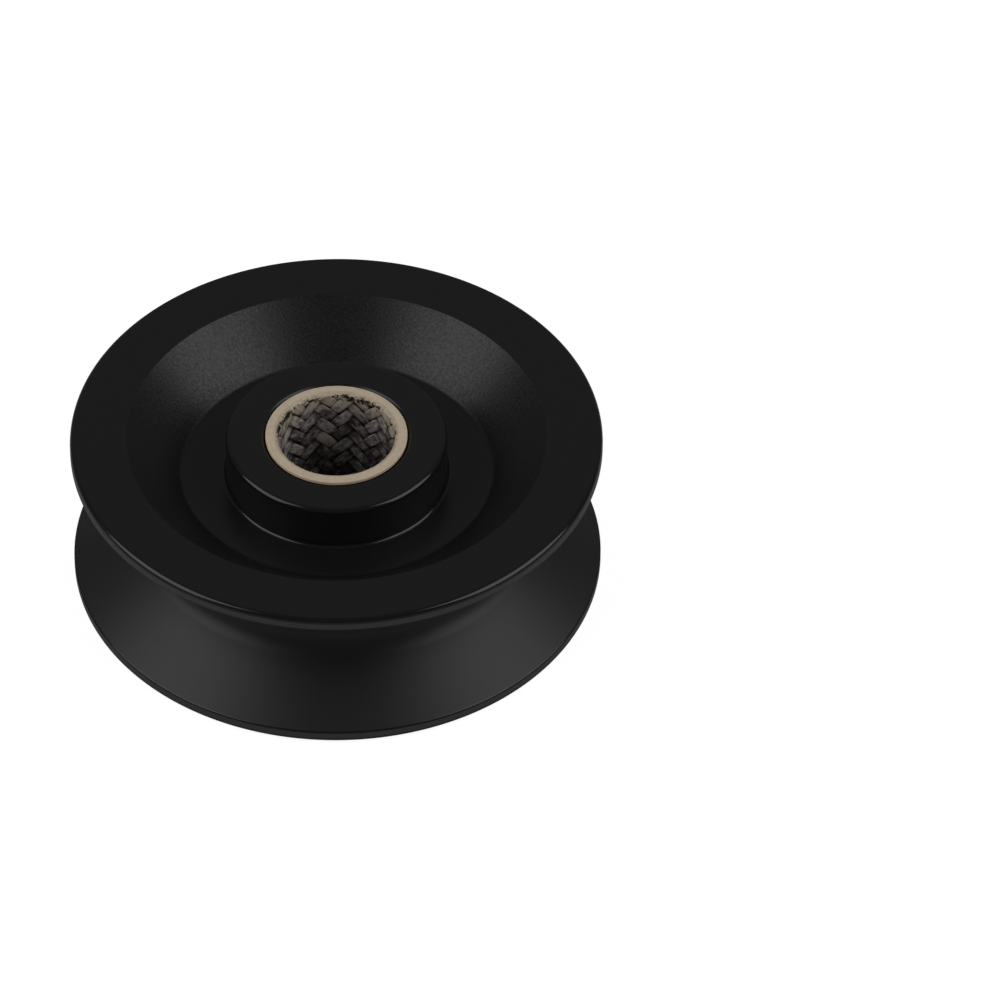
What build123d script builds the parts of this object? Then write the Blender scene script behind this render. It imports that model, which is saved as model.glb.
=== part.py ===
from build123d import *
from math import radians, tan
import os

os.makedirs("parts", exist_ok=True)

# A V-groove sheave with a wound composite bushing pressed into its hub, in millimetres.
# It lies flat: its axis is Z, and Z = 0 is the middle of its width.

# Wheel: overall sizes and the two dished side faces
wheel_diameter = 115.5
wheel_width = 36.5
hub_diameter = 48.1
rim_face_width = 12.2
recess_depth = 10.7
web_floor_width = 9.7

# Wheel: rope groove
rim_land_width = 2.85
groove_angle = 72.0
groove_root_radius = 7.5

# Wheel: edges and corners broken by a chamfer; the web's is measured along the radius
rim_edge_break = 0.7
web_corner_break = 0.9
hub_edge_break = 0.4
hub_bore_chamfer = 0.9

# Bushing: a braided liner inside a wound shell, a little longer than the hub
bore_diameter = 25.4
liner_thickness = 0.9
shell_thickness = 1.8
bushing_stand_out = 0.3
bore_chamfer = 0.6

# Braid: the strands lie at an angle to the bore's axis, over two and under two, so their tops
# stand in columns that lean left and right in turn and make a herringbone.
braid_column_pairs = 11
braid_angle = 42.0
braid_rows = 8
braid_gap_width = 0.5
braid_gap_depth = 0.3

# Fits between the pieces
press_fit_clearance = 0.0

# Worked out from the sizes above
wheel_radius = wheel_diameter / 2
hub_radius = hub_diameter / 2
face_z = wheel_width / 2
web_z = face_z - recess_depth
rim_inner_radius = wheel_radius - rim_face_width
web_floor_radius = hub_radius + web_floor_width
dish_slope = recess_depth / (rim_inner_radius - web_floor_radius)
groove_mouth_z = face_z - rim_land_width
groove_apex_radius = wheel_radius - groove_mouth_z / tan(radians(groove_angle / 2))

bore_radius = bore_diameter / 2
liner_radius = bore_radius + liner_thickness
shell_inner_radius = liner_radius + press_fit_clearance
shell_radius = shell_inner_radius + shell_thickness
seat_radius = shell_radius + press_fit_clearance
bushing_end_z = face_z + bushing_stand_out


def mirrored_outline(upper_corners, middle_corners=()):
    """Closes an outline that is the same above and below Z = 0; a corner is radius, height, rounding."""
    lower_corners = [(radius, -height, rounding) for radius, height, rounding in reversed(upper_corners)]
    corners = [*upper_corners, *middle_corners, *lower_corners]
    points = [(radius, height) for radius, height, rounding in corners]
    roundings = [rounding for radius, height, rounding in corners]
    FilletPolyline(*points, radius=roundings, close=True)


# The wheel is turned as one piece: hub, web, dished flanks, rim faces and the rope groove
with BuildPart() as sheave_wheel:
    with BuildSketch(Plane.XZ):
        with BuildLine():
            mirrored_outline(
                [
                    (seat_radius, face_z - hub_bore_chamfer, 0),
                    (seat_radius + hub_bore_chamfer, face_z, 0),
                    (hub_radius - hub_edge_break, face_z, 0),
                    (hub_radius, face_z - hub_edge_break, 0),
                    (hub_radius, web_z, 0),
                    (web_floor_radius - web_corner_break, web_z, 0),
                    (web_floor_radius + web_corner_break, web_z + web_corner_break * dish_slope, 0),
                    (rim_inner_radius, face_z, 0),
                    (wheel_radius - rim_edge_break, face_z, 0),
                    (wheel_radius, face_z - rim_edge_break, 0),
                    (wheel_radius, groove_mouth_z, 0),
                ],
                [(groove_apex_radius, 0, groove_root_radius)],
            )
        make_face()
    revolve(axis=Axis.Z)
sheave_wheel.part.label = "sheave_wheel"

# The bushing's shell is wound from resin-bonded glass fibre
with BuildPart() as bushing_shell:
    with BuildSketch(Plane.XZ):
        with BuildLine():
            mirrored_outline([(shell_inner_radius, bushing_end_z, 0), (shell_radius, bushing_end_z, 0)])
        make_face()
    revolve(axis=Axis.Z)
bushing_shell.part.label = "bushing_shell"

# One column of the liner's wall is a narrow slice of the tube, with a lead-in at each mouth of the
# bore. The gaps between its strand tops lean at the braid angle and run out through both its sides.
# The next column is its mirror image, so the gaps join into zigzags round the bore.
column_turn = 180 / braid_column_pairs
column_width = radians(column_turn) * bore_radius
lean = 1 / tan(radians(braid_angle))
row_pitch = column_width * lean
with BuildPart() as column_pair:
    with BuildSketch(Plane.XZ):
        with BuildLine():
            mirrored_outline(
                [
                    (bore_radius, bushing_end_z - bore_chamfer, 0),
                    (bore_radius + bore_chamfer, bushing_end_z, 0),
                    (liner_radius, bushing_end_z, 0),
                ]
            )
        make_face()
    revolve(axis=Axis.Z, revolution_arc=column_turn)
    middle = Plane.XZ.rotated((0, 0, -column_turn / 2))
    outward = middle.x_dir
    with BuildSketch(Plane(outward * (bore_radius + braid_gap_depth), x_dir=Vector(0, 0, 1), z_dir=outward)):
        with GridLocations(row_pitch, 0, braid_rows, 1):
            Polygon(
                (-row_pitch - braid_gap_width / 2, -column_width),
                (-row_pitch + braid_gap_width / 2, -column_width),
                (row_pitch + braid_gap_width / 2, column_width),
                (row_pitch - braid_gap_width / 2, column_width),
                align=None,
            )
    extrude(amount=-column_width, mode=Mode.SUBTRACT)
    mirror(about=Plane.XZ)

with BuildPart() as bushing_liner:
    with PolarLocations(0, braid_column_pairs):
        add(column_pair.part)
bushing_liner.part.label = "bushing_liner"

for piece in (sheave_wheel, bushing_shell, bushing_liner):
    export_step(piece.part, f"parts/{piece.part.label}.step")
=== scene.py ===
"""A black V-groove sheave with a braided composite bushing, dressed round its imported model.

Everything is in metres, with the bore's axis on Z and the middle of the sheave's width at Z = 0.
"""

import logging
from dataclasses import dataclass, field
from enum import Enum
from functools import partial
from math import atan, cos, pi, radians, sin, tan

import bpy
import numpy as np
from mathutils import Matrix, Vector


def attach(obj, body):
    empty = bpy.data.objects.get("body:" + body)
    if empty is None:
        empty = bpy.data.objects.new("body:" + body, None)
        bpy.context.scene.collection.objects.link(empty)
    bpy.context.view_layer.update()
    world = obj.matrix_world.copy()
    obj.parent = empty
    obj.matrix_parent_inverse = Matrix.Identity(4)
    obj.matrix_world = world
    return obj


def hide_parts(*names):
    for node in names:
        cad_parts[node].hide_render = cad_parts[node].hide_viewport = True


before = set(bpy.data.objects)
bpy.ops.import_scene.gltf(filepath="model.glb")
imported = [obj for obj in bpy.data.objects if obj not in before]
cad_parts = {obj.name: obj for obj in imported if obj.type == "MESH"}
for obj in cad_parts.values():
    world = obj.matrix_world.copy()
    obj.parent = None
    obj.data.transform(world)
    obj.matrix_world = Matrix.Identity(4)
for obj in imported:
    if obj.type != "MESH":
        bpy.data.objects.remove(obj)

MM = 0.001
BODY = "root"
WHITE = (1.0, 1.0, 1.0, 1.0)
SENSOR_WIDTH = 36.0
FOCAL_PIXELS = 8186
log = logging.getLogger("sheave")


class Node(Enum):
    """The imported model's nodes."""

    WHEEL = "sheave_wheel"
    SHELL = "bushing_shell"
    LINER = "bushing_liner"


class Slot(Enum):
    """The record's material slots."""

    WHEEL = "wheel"
    SHELL = "bushing_shell"
    LINER = "bushing_liner"


class Hand(Enum):
    """Which way a strand of the braid turns as it goes up."""

    LEFT = 1
    RIGHT = -1


def linear(hex_colour: str) -> tuple[float, float, float, float]:
    """Turns an sRGB hex colour into linear light.

    Args:
        hex_colour: Six hex digits, such as "a0957f".

    Returns:
        Red, green, blue and an alpha of 1.
    """
    channels = [int(hex_colour[i : i + 2], 16) / 255 for i in (0, 2, 4)]
    curve = [c / 12.92 if c <= 0.04045 else ((c + 0.055) / 1.055) ** 2.4 for c in channels]
    return (*curve, 1.0)


def new_material(name: str) -> tuple[bpy.types.Material, bpy.types.Node]:
    """Makes a node material.

    Args:
        name: The material's name.

    Returns:
        The material and its Principled shader.
    """
    material = bpy.data.materials.new(name)
    material.use_nodes = True
    return material, material.node_tree.nodes["Principled BSDF"]


def fill(material: bpy.types.Material, node: bpy.types.Node, **values: object) -> None:
    """Fills a node's sockets.

    Args:
        material: The material that the node belongs to.
        node: The node.
        **values: A socket to link from or a constant, under the socket's name with an underscore for
            each space, or under i0, i1 and so on where several sockets share a name.
    """
    for name, value in values.items():
        by_number = name[0] == "i" and name[1:].isdigit()
        socket = node.inputs[int(name[1:]) if by_number else name.replace("_", " ")]
        if isinstance(value, bpy.types.NodeSocket):
            material.node_tree.links.new(value, socket)
        else:
            socket.default_value = value


def add_node(material: bpy.types.Material, kind: str, settings: dict | None = None,
             **values: object) -> bpy.types.Node:
    """Adds a shader node, sets its properties and fills its sockets.

    Args:
        material: The material whose tree gets the node.
        kind: The node's type name.
        settings: Properties of the node itself, such as its operation.
        **values: What goes into its sockets, as fill takes it.

    Returns:
        The new node.
    """
    node = material.node_tree.nodes.new(kind)
    for name, value in (settings or {}).items():
        setattr(node, name, value)
    fill(material, node, **values)
    return node


def set_ramp(node: bpy.types.Node, stops: list[tuple[float, tuple]]) -> None:
    """Gives a colour ramp its stops.

    Args:
        node: The colour ramp's node.
        stops: Place and colour of each stop, in order.
    """
    elements = node.color_ramp.elements
    while len(elements) > 1:
        elements.remove(elements[-1])
    elements[0].position, elements[0].color = stops[0]
    for place, colour in stops[1:]:
        elements.new(place).color = colour


def new_object(name: str, data: bpy.types.ID) -> bpy.types.Object:
    """Makes an object of its data and links it to the scene."""
    made = bpy.data.objects.new(name, data)
    bpy.context.scene.collection.objects.link(made)
    return made


def grid_mesh(name: str, points: np.ndarray, normals: np.ndarray,
              values: dict[str, np.ndarray]) -> bpy.types.Object:
    """Makes a mesh object from a grid of points.

    Each cell of the grid is one quad, whose corners run along the second index first and then along
    the first. Both directions close on themselves: the last row joins the first.

    Args:
        name: The object's name.
        points: Array of shape (rows, columns, 3), in metres.
        normals: The surface's own normals at the points, which shade it without facets.
        values: Named arrays of shape (rows, columns), which become float attributes.

    Returns:
        The new object, smooth shaded and linked to the scene.
    """
    rows, columns, _ = points.shape
    index = np.arange(rows * columns).reshape(rows, columns)
    index = np.vstack([index, index[:1]])
    index = np.hstack([index, index[:, :1]])
    quads = np.stack([index[:-1, :-1], index[:-1, 1:], index[1:, 1:], index[1:, :-1]], -1).reshape(-1, 4)
    mesh = bpy.data.meshes.new(name)
    mesh.vertices.add(rows * columns)
    mesh.vertices.foreach_set("co", points.astype(np.float32).ravel())
    mesh.loops.add(quads.size)
    mesh.loops.foreach_set("vertex_index", quads.astype(np.int32).ravel())
    mesh.polygons.add(len(quads))
    mesh.polygons.foreach_set("loop_start", np.arange(0, quads.size, 4, dtype=np.int32))
    mesh.polygons.foreach_set("use_smooth", np.ones(len(quads), bool))
    for key, array in values.items():
        attribute = mesh.attributes.new(key, "FLOAT", "POINT")
        attribute.data.foreach_set("value", array.astype(np.float32).ravel())
    mesh.update(calc_edges=True)
    mesh.validate()
    mesh.normals_split_custom_set_from_vertices(normals.reshape(-1, 3))
    return new_object(name, mesh)


@dataclass(frozen=True)
class Corner:
    """One corner of a lathe section: its place and rounding in metres, and the arc's straight steps."""

    radius: float
    height: float
    rounding: float
    steps: int = 10
    burnished: bool = False


@dataclass(frozen=True)
class Section:
    """A closed lathe section, clockwise when radius runs right and height up."""

    places: np.ndarray
    normals: np.ndarray
    burnished: np.ndarray


def rounded_section(corners: list[Corner], support: float = 0.12 * MM) -> Section:
    """Samples a closed outline whose corners are rounded by arcs.

    At each corner the two sides are cut back by rounding times the cotangent of half the corner's
    angle, and an arc about the point on the bisector joins them. Two points a little way along the
    sides hold the shading flat up to the arc. The signed area of the outline, the sum of the cross
    products of neighbours, tells its turning sense and so which way is out.

    Args:
        corners: The outline's corners in order.
        support: How far beyond the arc's ends the holding points lie.

    Returns:
        The section, with outward normals and a mark of 1 on the arcs of burnished corners.
    """
    places = np.array([(c.radius, c.height) for c in corners])
    following = np.roll(places, -1, axis=0)
    turning = np.sign(np.sum(places[:, 0] * following[:, 1] - following[:, 0] * places[:, 1]))
    blocks = []
    for i, corner in enumerate(corners):
        here, before, after = places[i], places[i - 1], following[i]
        into = (before - here) / np.linalg.norm(before - here)
        out = (after - here) / np.linalg.norm(after - here)
        half = np.arccos(np.clip(into @ out, -1, 1)) / 2
        cut = corner.rounding / np.tan(half)
        bisector = (into + out) / np.linalg.norm(into + out)
        centre = here + bisector * corner.rounding / np.sin(half)
        start, end = here + into * cut, here + out * cut
        first = np.arctan2(*(start - centre)[::-1])
        sweep = (np.arctan2(*(end - centre)[::-1]) - first + pi) % (2 * pi) - pi
        angle = first + sweep * np.linspace(0, 1, corner.steps + 1)
        spokes = np.stack([np.cos(angle), np.sin(angle)], -1)
        arc = centre + corner.rounding * spokes
        side_before = turning * np.array([-into[1], into[0]])
        side_after = turning * np.array([out[1], -out[0]])
        outward = -np.sign(bisector @ side_before)
        # Columns 0 and 1 are the place, 2 and 3 the normal, 4 the burnished mark
        block = np.zeros((len(angle) + 2, 5))
        block[:, :2] = np.vstack([start + into * support, arc, end + out * support])
        block[:, 2:4] = np.vstack([side_before, outward * spokes, side_after])
        block[1:-1, 4] = corner.burnished
        blocks.append(block)
    table = np.vstack(blocks)
    if turning > 0:
        table = table[::-1]
    return Section(table[:, :2], table[:, 2:4], table[:, 4])


def lathe(name: str, section: Section, steps: int,
          values: dict[str, np.ndarray] | None = None) -> bpy.types.Object:
    """Turns a closed section about Z into a ring.

    A point of the ring is the section's point at radius r and height z, carried round to
    (r cos a, r sin a, z), and its normal is carried round in the same way.

    Args:
        name: The object's name.
        section: The section to turn.
        steps: How many steps go round.
        values: Named arrays with one value for each point of the section.

    Returns:
        The new object.
    """
    angle = np.arange(steps) * 2 * pi / steps
    shape = (steps, len(section.places))
    grids = []
    for out, up in (section.places.T, section.normals.T):
        grids.append(np.stack([
            np.outer(np.cos(angle), out),
            np.outer(np.sin(angle), out),
            np.broadcast_to(up, shape),
        ], -1))
    spread = {key: np.broadcast_to(array, shape) for key, array in (values or {}).items()}
    return grid_mesh(name, grids[0], grids[1], spread)


@dataclass(frozen=True)
class Tube:
    """A closed tube on a grid of steps by sides: its points, UV places and named attributes."""

    points: np.ndarray
    places: np.ndarray
    values: dict[str, np.ndarray]


def tubes_mesh(name: str, tubes: list[Tube]) -> bpy.types.Object:
    """Joins tubes of the same grid size into one mesh object, with a cap at each end.

    Args:
        name: The object's name.
        tubes: The tubes to join.

    Returns:
        The new object, smooth shaded and linked to the scene.
    """
    steps, sides, _ = tubes[0].points.shape
    size = steps * sides
    index = np.arange(size).reshape(steps, sides)
    closed = np.hstack([index, index[:, :1]])
    above, below = closed[1:], closed[:-1]
    quads = np.stack([above[:, :-1], above[:, 1:], below[:, 1:], below[:, :-1]], -1).reshape(-1, 4)
    faces = quads.tolist() + [index[0].tolist(), index[-1][::-1].tolist()]
    starts = range(0, len(tubes) * size, size)
    all_faces = [[corner + start for corner in face] for start in starts for face in faces]
    points = np.vstack([tube.points.reshape(-1, 3) for tube in tubes])
    places = np.vstack([tube.places.reshape(-1, 2) for tube in tubes])
    mesh = bpy.data.meshes.new(name)
    mesh.from_pydata(points.tolist(), [], all_faces)
    mesh.polygons.foreach_set("use_smooth", np.ones(len(all_faces), bool))
    layer = mesh.uv_layers.new(name="UVMap")
    corners = np.empty(len(mesh.loops), np.int32)
    mesh.loops.foreach_get("vertex_index", corners)
    layer.data.foreach_set("uv", places[corners].astype(np.float32).ravel())
    for key in tubes[0].values:
        array = np.concatenate([tube.values[key].ravel() for tube in tubes]).astype(np.float32)
        mesh.attributes.new(key, "FLOAT", "POINT").data.foreach_set("value", array)
    mesh.update(calc_edges=True)
    return new_object(name, mesh)


@dataclass(frozen=True)
class BlackNylon:
    """Cast nylon, dyed through and turned on a lathe.

    The dyed plastic is nearly black, and its soft sheen comes from the even, dull cut surface. Rings
    left by the tool catch the light as faint arcs, and where the cutter tore at the dished faces the
    sheen breaks into fine grain. The lands at the rims are painted a little paler, a painted sheen that
    stands for their reflection of the floor, and the groove is a touch paler for scuffs.
    """

    base: str = "151515"
    # Paler grey, painted on the lands as a painted sheen for their reflection of the floor; the groove
    # takes a little of it for scuffs
    scuff_and_sheen_grey: str = "3b3b3c"
    face_roughness: float = 0.28
    edge_roughness: float = 0.12
    land_roughness: float = 0.5
    hub_side_roughness: float = 0.5
    dish_roughness: float = 0.365
    groove_roughness: float = 0.42
    groove_scuff: float = 0.1
    sheen_level: float = 0.33
    # The tool's rings lie about 0.1 mm apart and are drawn five times as coarse, so that they show
    ring_size: float = 0.5 * MM
    ring_depth: float = 0.0006 * MM
    # The torn grain is about 0.2 mm and is drawn three times as coarse, so that it shows
    grain_size: float = 0.6 * MM
    grain_depth: float = 0.03 * MM
    grain_dulling: float = 0.4

    def make(self) -> bpy.types.Material:
        """Returns the material; its meshes carry the attributes along, grain, scuff and roughness."""
        material, shader = new_material("turned_black_nylon")
        add = partial(add_node, material)
        along = add("ShaderNodeAttribute", {"attribute_name": "along"}).outputs["Fac"]
        grain = add("ShaderNodeAttribute", {"attribute_name": "grain"}).outputs["Fac"]
        roughness = add("ShaderNodeAttribute", {"attribute_name": "roughness"}).outputs["Fac"]
        scuff = add("ShaderNodeAttribute", {"attribute_name": "scuff"}).outputs["Fac"]
        place = add("ShaderNodeTexCoord").outputs["Object"]
        rings = add("ShaderNodeTexNoise", {"noise_dimensions": "1D"}, W=along, Scale=1 / self.ring_size,
                    Detail=3.0)
        speckle = add("ShaderNodeTexNoise", Vector=place, Scale=1 / self.grain_size, Detail=1.0)
        centred = add("ShaderNodeMath", {"operation": "SUBTRACT"}, i0=speckle.outputs[0], i1=0.5)
        pitted = add("ShaderNodeMath", {"operation": "MULTIPLY"}, i0=centred.outputs[0], i1=grain)
        dulled = add("ShaderNodeMath", {"operation": "MULTIPLY_ADD"}, i0=pitted.outputs[0],
                     i1=self.grain_dulling, i2=roughness)
        turned = add("ShaderNodeBump", Height=rings.outputs[0], Distance=self.ring_depth, Strength=1.0)
        torn = add("ShaderNodeBump", Height=pitted.outputs[0], Distance=self.grain_depth, Strength=1.0,
                   Normal=turned.outputs[0])
        # The lands are painted paler here as a painted sheen; the groove a little, for scuffs
        colour = add("ShaderNodeMix", {"data_type": "RGBA"}, Factor=scuff, i6=linear(self.base),
                     i7=linear(self.scuff_and_sheen_grey))
        fill(material, shader, Base_Color=colour.outputs[2], Roughness=dulled.outputs[0],
             Normal=torn.outputs[0], Specular_IOR_Level=self.sheen_level)
        return material


@dataclass(frozen=True)
class WoundGlass:
    """Glass-fibre thread wound in epoxy resin, cut off on a lathe.

    The cut ends show the windings as fine rings, lighter where the glass is dense. The outer side
    has a browner colour of its own, painted lighter to make up for the little light that reaches it.
    Far inside the seat it is painted dark: glue, and a painted shadow in the gap round the shell.
    """

    light: str = "d1c1ab"
    dark: str = "bead96"
    # The outer side's colour is painted lighter than the ends, to make up for the little light that reaches
    # it
    side: str = "dfc8a4"
    # Near black for glue, and a painted shadow in the gap between the shell's side and the hub's seat
    glue_and_shadow: str = "120f0c"
    roughness: float = 0.62
    sheen_level: float = 0.35
    # The wound thread lies about 0.2 mm apart, and blotches of resin are four times as wide
    winding: float = 0.22 * MM
    blotch: float = 0.9 * MM
    blotch_share: float = 0.4
    tone_range: tuple[float, float] = (0.36, 0.62)
    relief: float = 0.01 * MM
    end_from: float = 18.25 * MM
    end_full: float = 18.5 * MM
    # Below these heights the shell's side is painted dark: glue, and a painted shadow in the gap
    gap_from: float = 17.67 * MM
    gap_full: float = 17.77 * MM

    def make(self) -> bpy.types.Material:
        """Returns the material, which reads the distance from the axis and the height."""
        material, shader = new_material("wound_glass_fibre_epoxy")
        add = partial(add_node, material)
        place = add("ShaderNodeTexCoord").outputs["Object"]
        axes = add("ShaderNodeSeparateXYZ", Vector=place)
        flat = add("ShaderNodeCombineXYZ", X=axes.outputs[0], Y=axes.outputs[1])
        radius = add("ShaderNodeVectorMath", {"operation": "LENGTH"}, i0=flat.outputs[0]).outputs["Value"]
        rings = add("ShaderNodeTexNoise", {"noise_dimensions": "1D"}, W=radius, Scale=1 / self.winding,
                    Detail=2.0)
        blotches = add("ShaderNodeTexNoise", Vector=place, Scale=1 / self.blotch, Detail=4.0)
        blend = add("ShaderNodeMix", {"data_type": "FLOAT"}, Factor=self.blotch_share, i2=rings.outputs[0],
                    i3=blotches.outputs[0])
        tone = add("ShaderNodeValToRGB", Fac=blend.outputs[0])
        set_ramp(tone, list(zip(self.tone_range, (linear(self.dark), linear(self.light)))))
        height = add("ShaderNodeMath", {"operation": "ABSOLUTE"}, i0=axes.outputs[2])
        below = add("ShaderNodeMapRange", Value=height.outputs[0], i1=self.end_from, i2=self.end_full,
                    i3=1.0, i4=0.0)
        # The outer side takes its own colour, painted lighter for the dim light there
        body = add("ShaderNodeMix", {"data_type": "RGBA"}, Factor=below.outputs[0], i6=tone.outputs[0],
                   i7=linear(self.side))
        # Deep in the seat the side is painted dark: glue, and a painted shadow
        glue_and_shadow_share = add("ShaderNodeMapRange", Value=height.outputs[0], i1=self.gap_from, i2=self.gap_full,
                     i3=1.0, i4=0.0)
        whole = add("ShaderNodeMix", {"data_type": "RGBA"}, Factor=glue_and_shadow_share.outputs[0], i6=body.outputs[2],
                    i7=linear(self.glue_and_shadow))
        bump = add("ShaderNodeBump", Height=blend.outputs[0], Distance=self.relief, Strength=1.0)
        fill(material, shader, Base_Color=whole.outputs[2], Normal=bump.outputs[0],
             Roughness=self.roughness, Specular_IOR_Level=self.sheen_level)
        return material


@dataclass(frozen=True)
class FibreEnds:
    """Dark cut fibre ends in a band just inside each mouth of the bore.

    A noise as fine as the ends, raised here and there by a broad one, is cut off high, so that it
    leaves clusters of separate marks. They fade out above and below the band.
    """

    end_size: float = 0.8 * MM
    cluster_size: float = 4.5 * MM
    cluster_lift: float = 0.7
    cut_from: float = 0.875
    cut_full: float = 0.91
    band_height: float = 17.3 * MM
    fade_from: float = 0.75 * MM
    fade_full: float = 1.1 * MM

    def mark(self, material: bpy.types.Material) -> bpy.types.NodeSocket:
        """Adds the marks to a material.

        Args:
            material: The material whose tree gets the nodes.

        Returns:
            A factor of 1 on a mark and 0 elsewhere.
        """
        add = partial(add_node, material)
        place = add("ShaderNodeTexCoord").outputs["Object"]
        axes = add("ShaderNodeSeparateXYZ", Vector=place)
        height = add("ShaderNodeMath", {"operation": "ABSOLUTE"}, i0=axes.outputs[2])
        noise = add("ShaderNodeTexNoise", Vector=place, Scale=1 / self.end_size, Detail=3.0, Roughness=0.7)
        clusters = add("ShaderNodeTexNoise", Vector=place, Scale=1 / self.cluster_size, Detail=0.0)
        both = add("ShaderNodeMath", {"operation": "MULTIPLY_ADD"}, i0=clusters.outputs[0],
                   i1=self.cluster_lift, i2=noise.outputs[0])
        marks = add("ShaderNodeMapRange", Value=both.outputs[0], i1=self.cut_from, i2=self.cut_full)
        off = add("ShaderNodeMath", {"operation": "SUBTRACT"}, i0=height.outputs[0], i1=self.band_height)
        away = add("ShaderNodeMath", {"operation": "ABSOLUTE"}, i0=off.outputs[0])
        band = add("ShaderNodeMapRange", Value=away.outputs[0], i1=self.fade_from, i2=self.fade_full,
                   i3=1.0, i4=0.0)
        product = add("ShaderNodeMath", {"operation": "MULTIPLY"}, i0=marks.outputs[0], i1=band.outputs[0])
        return product.outputs[0]


@dataclass(frozen=True)
class BraidYarn:
    """Flat bundles of fluoropolymer and polyester yarn, braided and set in resin.

    Each strand top has its own tone, from bone to purple brown, clouded by the resin that soaked in.
    Fine filaments run along the strand. Where the yarn lies back from the bore, at the strands' edges
    and where they dive, it is painted nearly black with ragged edges: dark resin in the gaps, and
    painted shade. The yarn is painted paler towards the mouths, as painted light that falls in there.
    """

    bone: str = "b4aea6"
    mid: str = "7a7273"
    brown: str = "3b3236"
    # Nearly black: the dark resin in the gaps, also used as painted shade where the yarn lies back from the
    # bore
    resin: str = "181317"
    # Painted light: near the mouths the yarn is painted towards this paler colour
    painted_mouth_light: str = "bdb2a0"
    mid_place: float = 0.45
    roughness: float = 0.55
    sheen_level: float = 0.4
    # Real filaments are about 0.02 mm thick and are drawn ten times as coarse, so that they show
    filament: float = 0.22 * MM
    filament_squeeze: float = 0.07
    relief: float = 0.03 * MM
    cloud: float = 1.2 * MM
    tone_shift: float = 0.4
    streak_range: tuple[float, float] = (0.3, 0.7)
    cloud_range: tuple[float, float] = (0.35, 0.65)
    # Painted light near the mouths: how far it wanders, where it starts and is full, and how strong it gets
    mouth_light_raggedness: float = 14 * MM
    mouth_light_from: float = 17.5 * MM
    mouth_light_full: float = 25.5 * MM
    mouth_light_share: float = 0.9
    # How far in the dark resin and painted shade between the strands reach, raggedly
    gap_raggedness: float = 0.22 * MM
    gap_from: float = 0.17 * MM
    gap_full: float = 0.34 * MM
    fibre_ends: FibreEnds = field(default_factory=FibreEnds)

    def make(self) -> bpy.types.Material:
        """Returns the material; its meshes carry a UV map in metres and the attributes tone and depth."""
        material, shader = new_material("braided_yarn_in_resin")
        add = partial(add_node, material)
        tone = add("ShaderNodeAttribute", {"attribute_name": "tone"}).outputs["Fac"]
        depth = add("ShaderNodeAttribute", {"attribute_name": "depth"}).outputs["Fac"]
        where = add("ShaderNodeTexCoord")
        axes = add("ShaderNodeSeparateXYZ", Vector=where.outputs["Object"])
        height = add("ShaderNodeMath", {"operation": "ABSOLUTE"}, i0=axes.outputs[2])
        drawn = add("ShaderNodeMapping", Vector=where.outputs["UV"],
                    Scale=(1.0, self.filament_squeeze, 1.0))
        filaments = add("ShaderNodeTexNoise", Vector=drawn.outputs[0], Scale=1 / self.filament, Detail=3.0)
        clouds = add("ShaderNodeTexNoise", Vector=where.outputs["Object"], Scale=1 / self.cloud, Detail=4.0,
                     Roughness=0.65)
        streak = add("ShaderNodeMapRange", Value=filaments.outputs[0], i1=self.streak_range[0],
                     i2=self.streak_range[1], i3=-self.tone_shift, i4=self.tone_shift)
        clouded = add("ShaderNodeMapRange", Value=clouds.outputs[0], i1=self.cloud_range[0],
                      i2=self.cloud_range[1], i3=-self.tone_shift, i4=self.tone_shift)
        mixed = add("ShaderNodeMath", {"operation": "ADD"}, i0=tone, i1=streak.outputs[0])
        uneven = add("ShaderNodeMath", {"operation": "ADD"}, i0=mixed.outputs[0], i1=clouded.outputs[0])
        yarn = add("ShaderNodeValToRGB", Fac=uneven.outputs[0])
        stops = [(0.0, self.brown), (self.mid_place, self.mid), (1.0, self.bone)]
        set_ramp(yarn, [(stop, linear(colour)) for stop, colour in stops])
        # Painted light near the mouths: paler the nearer the yarn lies to an end, with ragged edges
        patchy = add("ShaderNodeMath", {"operation": "MULTIPLY_ADD"}, i0=clouds.outputs[0],
                     i1=self.mouth_light_raggedness, i2=height.outputs[0])
        mouth_light = add("ShaderNodeMapRange", {"interpolation_type": "SMOOTHSTEP"}, Value=patchy.outputs[0],
                    i1=self.mouth_light_from, i2=self.mouth_light_full, i3=0.0, i4=self.mouth_light_share)
        pale = add("ShaderNodeMix", {"data_type": "RGBA"}, Factor=mouth_light.outputs[0], i6=yarn.outputs[0],
                   i7=linear(self.painted_mouth_light))
        # Dark resin and painted shade: the yarn goes nearly black where it lies back from the bore, at the
        # strands' edges and where they dive
        ragged = add("ShaderNodeMath", {"operation": "MULTIPLY_ADD"}, i0=clouds.outputs[0],
                     i1=self.gap_raggedness, i2=depth)
        deep = add("ShaderNodeMapRange", {"interpolation_type": "SMOOTHSTEP"}, Value=ragged.outputs[0],
                   i1=self.gap_from, i2=self.gap_full, i3=0.0, i4=1.0)
        dark = add("ShaderNodeMath", {"operation": "MAXIMUM"}, i0=deep.outputs[0],
                   i1=self.fibre_ends.mark(material))
        shade = add("ShaderNodeMix", {"data_type": "RGBA"}, Factor=dark.outputs[0], i6=pale.outputs[2],
                    i7=linear(self.resin))
        bump = add("ShaderNodeBump", Height=filaments.outputs[0], Distance=self.relief, Strength=1.0)
        fill(material, shader, Base_Color=shade.outputs[2], Normal=bump.outputs[0],
             Roughness=self.roughness, Specular_IOR_Level=self.sheen_level)
        return material


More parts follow.
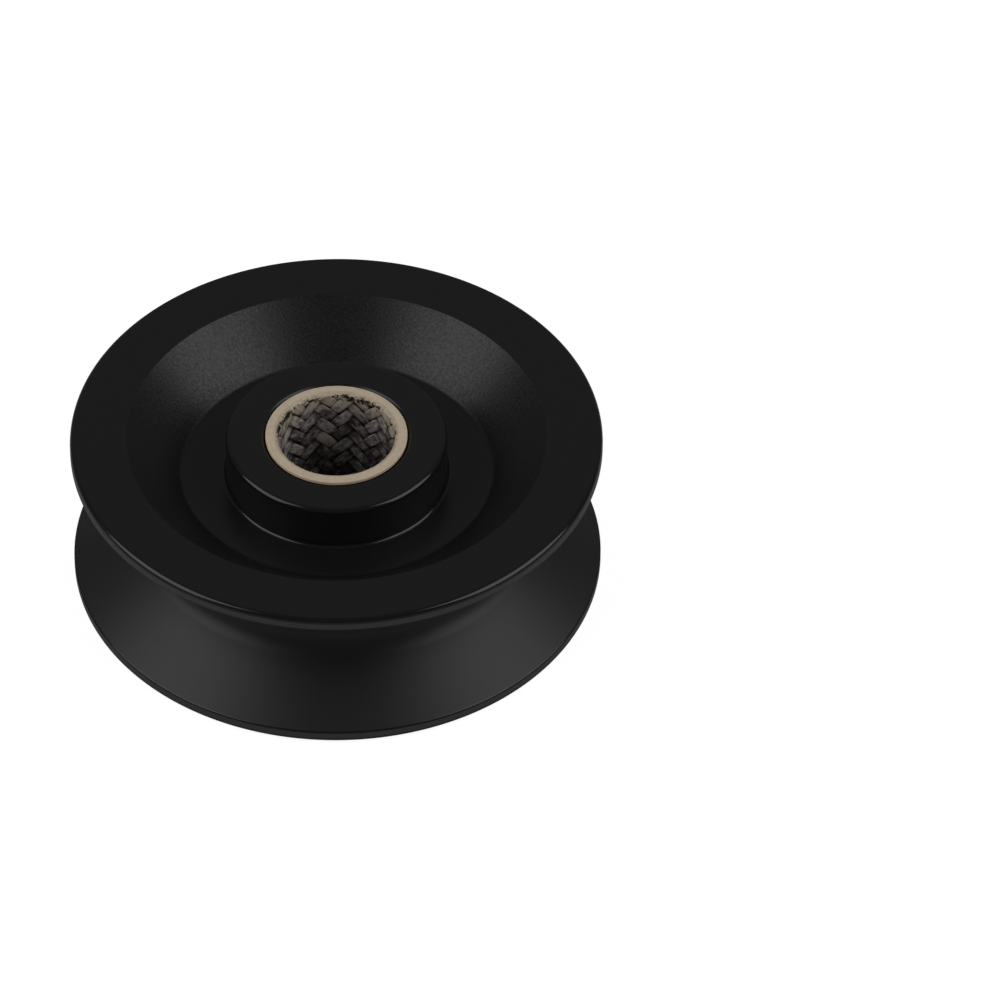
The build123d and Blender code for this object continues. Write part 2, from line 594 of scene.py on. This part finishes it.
@dataclass(frozen=True)
class MouthResin:
    """Epoxy resin cast at the mouths of the bore, with dark cut fibre ends, over resin within that is
    painted nearly black: dark resin, and painted shade behind the braid.

    The lead-in's tan resin is as pale as the wound shell's end. The braid's cut ends show through it
    as dark flecks, and its lower border is ragged.
    """

    sand: str = "b6a68d"
    pale: str = "cab9a0"
    fleck: str = "1d1713"
    # Nearly black: the resin behind the braid, darkened as painted shade, since it shows only in the gaps
    # between strands
    deep: str = "15110e"
    roughness: float = 0.5
    sheen_level: float = 0.4
    blotch: float = 0.7 * MM
    tone_range: tuple[float, float] = (0.36, 0.62)
    relief: float = 0.04 * MM
    border_raggedness: float = 1.3 * MM
    border_from: float = 18.2 * MM
    border_full: float = 18.4 * MM
    fibre_ends: FibreEnds = field(default_factory=FibreEnds)

    def make(self) -> bpy.types.Material:
        """Returns the material, which reads the height and a blotchy pattern."""
        material, shader = new_material("cast_epoxy_with_fibre_ends")
        add = partial(add_node, material)
        place = add("ShaderNodeTexCoord").outputs["Object"]
        axes = add("ShaderNodeSeparateXYZ", Vector=place)
        height = add("ShaderNodeMath", {"operation": "ABSOLUTE"}, i0=axes.outputs[2])
        blotches = add("ShaderNodeTexNoise", Vector=place, Scale=1 / self.blotch, Detail=3.0)
        ragged = add("ShaderNodeMath", {"operation": "MULTIPLY_ADD"}, i0=blotches.outputs[0],
                     i1=self.border_raggedness, i2=height.outputs[0])
        # Below the lead-in the resin is painted nearly black: dark resin, and painted shade behind the
        # braid
        inner = add("ShaderNodeMapRange", Value=ragged.outputs[0], i1=self.border_from,
                    i2=self.border_full, i3=1.0, i4=0.0)
        tone = add("ShaderNodeValToRGB", Fac=blotches.outputs[0])
        set_ramp(tone, list(zip(self.tone_range, (linear(self.sand), linear(self.pale)))))
        marked = add("ShaderNodeMix", {"data_type": "RGBA"}, Factor=self.fibre_ends.mark(material),
                     i6=tone.outputs[0], i7=linear(self.fleck))
        body = add("ShaderNodeMix", {"data_type": "RGBA"}, Factor=inner.outputs[0], i6=marked.outputs[2],
                   i7=linear(self.deep))
        bump = add("ShaderNodeBump", Height=blotches.outputs[0], Distance=self.relief, Strength=1.0)
        fill(material, shader, Base_Color=body.outputs[2], Normal=bump.outputs[0],
             Roughness=self.roughness, Specular_IOR_Level=self.sheen_level)
        return material


@dataclass(frozen=True)
class WhiteSweep:
    """A white paper sweep: most of it glows to the camera, the rest shows the soft shadow."""

    paper: str = "c4c4c4"
    roughness: float = 0.9
    glow: float = 1.44
    share: float = 0.645

    def make(self) -> bpy.types.Material:
        """Returns the material."""
        material, shader = new_material("white_paper")
        add = partial(add_node, material)
        fill(material, shader, Base_Color=linear(self.paper), Roughness=self.roughness,
             Specular_IOR_Level=0.0)
        glow = add("ShaderNodeEmission", Color=WHITE, Strength=self.glow)
        seen = add("ShaderNodeLightPath").outputs["Is Camera Ray"]
        part = add("ShaderNodeMath", {"operation": "MULTIPLY"}, i0=seen, i1=self.share)
        mix = add("ShaderNodeMixShader", i0=part.outputs[0], i1=shader.outputs[0], i2=glow.outputs[0])
        fill(material, material.node_tree.nodes["Material Output"], Surface=mix.outputs[0])
        return material


def dress(piece: bpy.types.Object, material: bpy.types.Material, node: Node) -> bpy.types.Object:
    """Gives a piece its finish and its body, and hides the CAD node it stands for.

    Args:
        piece: The new piece.
        material: Its finish.
        node: The CAD node it stands for.

    Returns:
        The piece.
    """
    piece.data.materials.append(material)
    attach(piece, BODY)
    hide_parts(node.value)
    return piece


@dataclass
class Wheel:
    """The wheel, turned as one piece: hub, web, dished flanks, rim faces and rope groove."""

    radius: float = 57.75 * MM
    half_width: float = 18.25 * MM
    hub_radius: float = 24.05 * MM
    seat_radius: float = 15.4 * MM
    rim_inner_radius: float = 45.55 * MM
    web_height: float = 7.55 * MM
    web_floor_radius: float = 33.75 * MM
    mouth_height: float = 15.4 * MM
    apex_radius: float = 36.55 * MM
    root_rounding: float = 7.5 * MM
    web_rounding: float = 2.5 * MM
    rim_rounding: float = 1.15 * MM
    rim_inner_rounding: float = 0.35 * MM
    mouth_rounding: float = 0.45 * MM
    hub_rounding: float = 1.1 * MM
    hub_root_rounding: float = 0.95 * MM
    seat_rounding: float = 0.08 * MM
    chamfer: float = 0.9 * MM
    # The dished face's marks start this far inside the web floor's radius and this far above the web
    web_overlap: float = 0.3 * MM
    web_clearance: float = 0.2 * MM
    rim_overlap: float = 0.02 * MM
    slack: float = 0.01 * MM
    steps: int = 360
    finish: BlackNylon = field(default_factory=BlackNylon)

    def corners(self) -> list[Corner]:
        """Returns the upper corners, the groove's root and the mirrored lower corners."""
        top, sharp, shiny = self.half_width, self.seat_rounding, True
        upper = [
            Corner(self.seat_radius, top - self.chamfer, sharp, 3),
            Corner(self.seat_radius + self.chamfer, top, sharp, 3),
            Corner(self.hub_radius, top, self.hub_rounding, 10, shiny),
            Corner(self.hub_radius, self.web_height, self.hub_root_rounding, 10, shiny),
            Corner(self.web_floor_radius, self.web_height, self.web_rounding, 16),
            Corner(self.rim_inner_radius, top, self.rim_inner_rounding, 6),
            Corner(self.radius, top, self.rim_rounding, 12, shiny),
            Corner(self.radius, self.mouth_height, self.mouth_rounding, 10, shiny),
        ]
        root = [Corner(self.apex_radius, 0.0, self.root_rounding, 48)]
        lower = [Corner(c.radius, -c.height, c.rounding, c.steps, c.burnished) for c in reversed(upper)]
        return upper + root + lower

    def marks(self, section: Section) -> dict[str, np.ndarray]:
        """Marks how each face of the section was cut.

        Args:
            section: The wheel's section.

        Returns:
            One value for each point of the section: the length along it, where the grain shows, how much
            paler the face is painted, for scuffs and as a painted sheen, and its roughness.
        """
        finish = self.finish
        radius, height = section.places.T
        height = abs(height)
        step = np.linalg.norm(np.diff(section.places, axis=0, prepend=section.places[:1]), axis=1)
        dished = radius > self.web_floor_radius - self.web_overlap
        dished &= radius < self.rim_inner_radius + self.rim_overlap
        dished &= height > self.web_height + self.web_clearance
        dished &= height < self.half_width - self.slack
        inside = radius < self.radius - self.slack
        groove = (radius > self.apex_radius) & inside & (height < self.mouth_height)
        hub_side = abs(radius - self.hub_radius) < self.slack
        rough = np.full(len(radius), finish.face_roughness)
        rough[dished] = finish.dish_roughness
        rough[groove] = finish.groove_roughness
        rough[hub_side] = finish.hub_side_roughness
        rough[~inside] = finish.land_roughness
        rough[section.burnished > 0] = finish.edge_roughness
        # The lands take the paler colour in full as a painted sheen, the groove a little for scuffs, the
        # burnished edges none
        scuff = np.where(inside, finish.groove_scuff * groove, 1.0) * (section.burnished == 0)
        grain = dished.astype(float)
        return {"along": np.cumsum(step), "grain": grain, "scuff": scuff, "roughness": rough}

    def build(self) -> list[bpy.types.Object]:
        """Turns the section and dresses the wheel."""
        section = rounded_section(self.corners())
        piece = lathe("turned_wheel", section, self.steps, self.marks(section))
        return [dress(piece, self.finish.make(), Node.WHEEL)]


@dataclass
class Bushing:
    """The bushing: a wound shell, and a liner of resin that carries the braid."""

    inner_radius: float = 13.6 * MM
    outer_radius: float = 15.4 * MM
    bore_radius: float = 12.7 * MM
    half_length: float = 18.55 * MM
    chamfer: float = 0.6 * MM
    edge: float = 0.3 * MM
    sharp_edge: float = 0.05 * MM
    mouth_edge: float = 0.1 * MM
    mouth_set_back: float = 0.05 * MM
    mouth_end: float = 17.5 * MM
    mouth_taper: float = 0.7 * MM
    gap_radius: float = 13.15 * MM
    steps: int = 240
    shell_finish: WoundGlass = field(default_factory=WoundGlass)
    resin_finish: MouthResin = field(default_factory=MouthResin)

    def shell(self) -> bpy.types.Object:
        """Turns the wound shell."""
        sharp, end = self.sharp_edge, self.half_length
        corners = [
            Corner(self.inner_radius, end, sharp),
            Corner(self.outer_radius, end, self.edge),
            Corner(self.outer_radius, -end, self.edge),
            Corner(self.inner_radius, -end, sharp),
        ]
        piece = lathe("wound_shell", rounded_section(corners), self.steps)
        return dress(piece, self.shell_finish.make(), Node.SHELL)

    def liner(self) -> bpy.types.Object:
        """Turns the liner's resin, which is thick at the mouths and set back behind the braid."""
        sharp, end = self.sharp_edge, self.half_length
        mouth_radius = self.bore_radius + self.mouth_set_back
        upper = [
            Corner(self.inner_radius, end, sharp),
            Corner(self.bore_radius + self.chamfer, end, sharp),
            Corner(mouth_radius, end - self.chamfer, self.mouth_edge),
            Corner(mouth_radius, self.mouth_end, self.mouth_edge),
            Corner(self.gap_radius, self.mouth_end - self.mouth_taper, sharp),
        ]
        lower = [Corner(c.radius, -c.height, c.rounding) for c in reversed(upper)]
        piece = lathe("liner_resin", rounded_section(upper + lower), self.steps)
        return dress(piece, self.resin_finish.make(), Node.LINER)

    def build(self) -> list[bpy.types.Object]:
        """Builds the shell and the liner's resin."""
        return [self.shell(), self.liner()]


@dataclass
class Braid:
    """Two sets of helical strands that pass over two and under two, leaning left and right."""

    radius: float = 12.7 * MM
    strands: int = 22
    lean: float = radians(42.0)
    turn: float = radians(30.67)
    width: float = 2.62 * MM
    dip: float = 0.26 * MM
    dome: float = 0.13 * MM
    thickness: float = 0.12 * MM
    clearance: float = 0.01 * MM
    top_flatness: float = 1.7
    sway: float = 0.12 * MM
    sway_length: float = 2.6 * MM
    sway_phase: float = 2.1
    narrowing: float = 0.10
    ripple: float = 0.06
    ripple_length: float = 1.9 * MM
    ripple_phase: float = 1.7
    # How far the tone is painted darker where a strand dives: resin soaked in, and painted shade under the
    # crossing
    fade: float = 0.85
    tone_middle: float = 0.5
    strand_spread: float = 0.22
    top_spread: float = 0.18
    tops: int = 24
    map_step: float = 7 * MM
    map_gap: float = 90 * MM
    half_length: float = 18.05 * MM
    steps: int = 98
    inner_points: int = 8
    outer_points: int = 4
    outer_share: float = 0.9
    seed: int = 7
    finish: BraidYarn = field(default_factory=BraidYarn)

    def strand(self, hand: Hand, number: int, tones: np.ndarray) -> Tube:
        """Shapes one strand as a flat closed tube.

        The middle line winds round the bore at the lean angle. Counting crossings along it, it lies
        over the other set for two and under for two, by a cosine with flattened tops, and it sinks by
        the dip where it lies under. It sways a little from the helix. The inner side of the tube is
        domed across its width, and the tone is painted towards the dark end of its scale where the
        strand dives: resin soaked into the yarn, and painted shade under the crossing strand.

        Args:
            hand: Which way the strand turns.
            number: The strand's number in its set.
            tones: One tone for each of the strand's tops.

        Returns:
            The tube, with the attributes tone and depth.
        """
        sign = hand.value
        spacing = 2 * pi / self.strands
        climb = tan(self.lean) / self.radius
        height = np.linspace(-self.half_length, self.half_length, self.steps)
        sway = self.sway * np.sin(height / self.sway_length + self.sway_phase * number)
        middle = self.turn + number * spacing + sign * height * climb + sway / self.radius
        # Four crossings make one wave, two over and two under, and it turns over at half counts
        count = 2 * number + sign * 2 * height * climb / spacing
        wave = sign * np.cos(2 * pi * (count - 0.5) / 4)
        over = np.tanh(self.top_flatness * wave) / np.tanh(self.top_flatness)
        under = (1 - over) / 2
        top = np.floor((count + (0.5 if hand is Hand.LEFT else 2.5)) / 4).astype(int)
        tone = tones[(top - top.min()) % len(tones)]

        inner = np.linspace(-1, 1, self.inner_points)
        outer = np.linspace(self.outer_share, -self.outer_share, self.outer_points)
        across = np.concatenate([inner, outer])
        back = np.concatenate([np.zeros(self.inner_points), np.ones(self.outer_points)])
        ripple = self.ripple * np.sin(height / self.ripple_length + self.ripple_phase * number)
        narrow = 1 - self.narrowing * under + ripple
        side = 0.5 * self.width * np.outer(narrow, across)
        dome = self.dome * np.abs(across) ** 4
        depth = self.dip * under[:, None] + np.maximum(dome, back * (self.dome + self.thickness))[None]
        radius = self.radius + self.clearance + depth
        angle = middle[:, None] + side * cos(self.lean) / self.radius
        level = height[:, None] - sign * side * sin(self.lean)
        level = np.clip(level, -self.half_length, self.half_length)
        points = np.stack([radius * np.cos(angle), radius * np.sin(angle), level], -1)

        run = np.broadcast_to(height[:, None] / cos(self.lean), side.shape)
        places = np.stack([side + number * self.map_step + (sign + 1) * self.map_gap, run], -1)
        # Resin soaked in, and painted shade: the tone darkens where the strand dives under the other set
        tone_with_dive_shade = np.broadcast_to((tone - self.fade * under)[:, None], side.shape)
        return Tube(points, places, {"tone": tone_with_dive_shade, "depth": depth})

    def build(self) -> list[bpy.types.Object]:
        """Builds each set of strands as one piece."""
        material = self.finish.make()
        rng = np.random.default_rng(self.seed)
        made = []
        for hand in Hand:
            tubes = []
            for number in range(self.strands):
                own = rng.normal(self.tone_middle, self.strand_spread)
                tones = np.clip(own + rng.normal(0.0, self.top_spread, self.tops), 0, 1)
                tubes.append(self.strand(hand, number, tones))
            piece = tubes_mesh(f"braid_{hand.name.lower()}", tubes)
            made.append(dress(piece, material, Node.LINER))
        return made


@dataclass
class Studio:
    """The camera, the two side softboxes, the dim surroundings and the white floor."""

    # The lens gives FOCAL_PIXELS in an image 1000 pixels wide; pan and tilt move the wheel in it
    lens: float = 294.7
    clip_end: float = 20.0
    distance: float = 1786.5 * MM
    elevation: float = radians(43.48)
    roll: float = radians(0.61)
    pan: float = atan(162.93 / FOCAL_PIXELS)
    tilt: float = atan(4.36 / FOCAL_PIXELS)
    box_side: float = 0.80
    box_distance: float = 1.0
    box_azimuth: float = radians(76)
    box_elevation: float = radians(39)
    box_radiance: float = 2.2
    room_level: float = 0.095
    back_level: float = 0.18
    back_elevation: float = radians(43.5)
    # Cosines of the angles from the bright part's middle at which its light starts and is full
    back_from: float = 0.6
    back_full: float = 0.92
    floor_height: float = -18.6 * MM
    floor_half: float = 3.0
    finish: WhiteSweep = field(default_factory=WhiteSweep)

    def camera(self) -> None:
        """Sets a long lens that looks at the wheel's middle, then turned to place it in the picture."""
        data = bpy.data.cameras.new("camera")
        data.lens = self.lens
        data.sensor_width = SENSOR_WIDTH
        data.clip_end = self.clip_end
        made = new_object("camera", data)
        back = Vector((0.0, -cos(self.elevation), sin(self.elevation))) * self.distance
        look = (-back).to_track_quat("-Z", "Y").to_matrix().to_4x4()
        turn = Matrix.Rotation(-self.roll, 4, "Z") @ Matrix.Rotation(-self.pan, 4, "Y")
        turn = turn @ Matrix.Rotation(-self.tilt, 4, "X")
        made.matrix_world = Matrix.Translation(back) @ look @ turn
        bpy.context.scene.camera = made

    def softboxes(self) -> None:
        """Hangs a square softbox at each side; its power is its radiance times pi times its area."""
        flat = cos(self.box_elevation)
        for name, azimuth in (("softbox_left", -self.box_azimuth), ("softbox_right", self.box_azimuth)):
            data = bpy.data.lights.new(name, "AREA")
            data.shape = "SQUARE"
            data.size = self.box_side
            data.energy = self.box_radiance * pi * self.box_side**2
            place = Vector((sin(azimuth) * flat, -cos(azimuth) * flat, sin(self.box_elevation)))
            place *= self.box_distance
            turn = (-place).to_track_quat("-Z", "Y").to_matrix().to_4x4()
            new_object(name, data).matrix_world = Matrix.Translation(place) @ turn

    def floor(self) -> None:
        """Lays the paper just under the bushing's lower end."""
        mesh = bpy.data.meshes.new("floor")
        h = self.floor_half
        mesh.from_pydata([(-h, -h, 0), (h, -h, 0), (h, h, 0), (-h, h, 0)], [], [(0, 1, 2, 3)])
        mesh.materials.append(self.finish.make())
        made = new_object("floor", mesh)
        made.location.z = self.floor_height

    def room(self) -> None:
        """Makes the surroundings white to the camera and dim to the surfaces.

        A soft light high behind the wheel is the only bright part: the level grows with the cosine
        of the angle to its middle.
        """
        world = bpy.data.worlds.new("room")
        world.use_nodes = True
        nodes, links = world.node_tree.nodes, world.node_tree.links
        facing = nodes.new("ShaderNodeVectorMath")
        facing.operation = "DOT_PRODUCT"
        links.new(nodes.new("ShaderNodeTexCoord").outputs["Generated"], facing.inputs[0])
        facing.inputs[1].default_value = (0.0, cos(self.back_elevation), sin(self.back_elevation))
        back = nodes.new("ShaderNodeMapRange")
        links.new(facing.outputs["Value"], back.inputs[0])
        limits = (self.back_from, self.back_full, self.room_level, self.back_level)
        for socket, value in zip(back.inputs[1:5], limits):
            socket.default_value = value
        level = nodes.new("ShaderNodeMapRange")
        links.new(nodes.new("ShaderNodeLightPath").outputs["Is Camera Ray"], level.inputs[0])
        links.new(back.outputs[0], level.inputs[3])
        level.inputs[4].default_value = 1.0
        background = nodes["Background"]
        background.inputs[0].default_value = WHITE
        links.new(level.outputs[0], background.inputs[1])
        bpy.context.scene.world = world

    def build(self) -> None:
        """Sets up the whole studio."""
        self.camera()
        self.softboxes()
        self.floor()
        self.room()
        bpy.context.scene.view_settings.view_transform = "Standard"


def main() -> None:
    """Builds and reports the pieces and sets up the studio."""
    logging.basicConfig(level=logging.INFO, format="%(message)s")
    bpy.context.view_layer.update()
    for assembly in (Wheel(), Bushing(), Braid()):
        for piece in assembly.build():
            log.info("%s: %d faces", piece.name, len(piece.data.polygons))
    Studio().build()


if __name__ == "__main__":
    main()
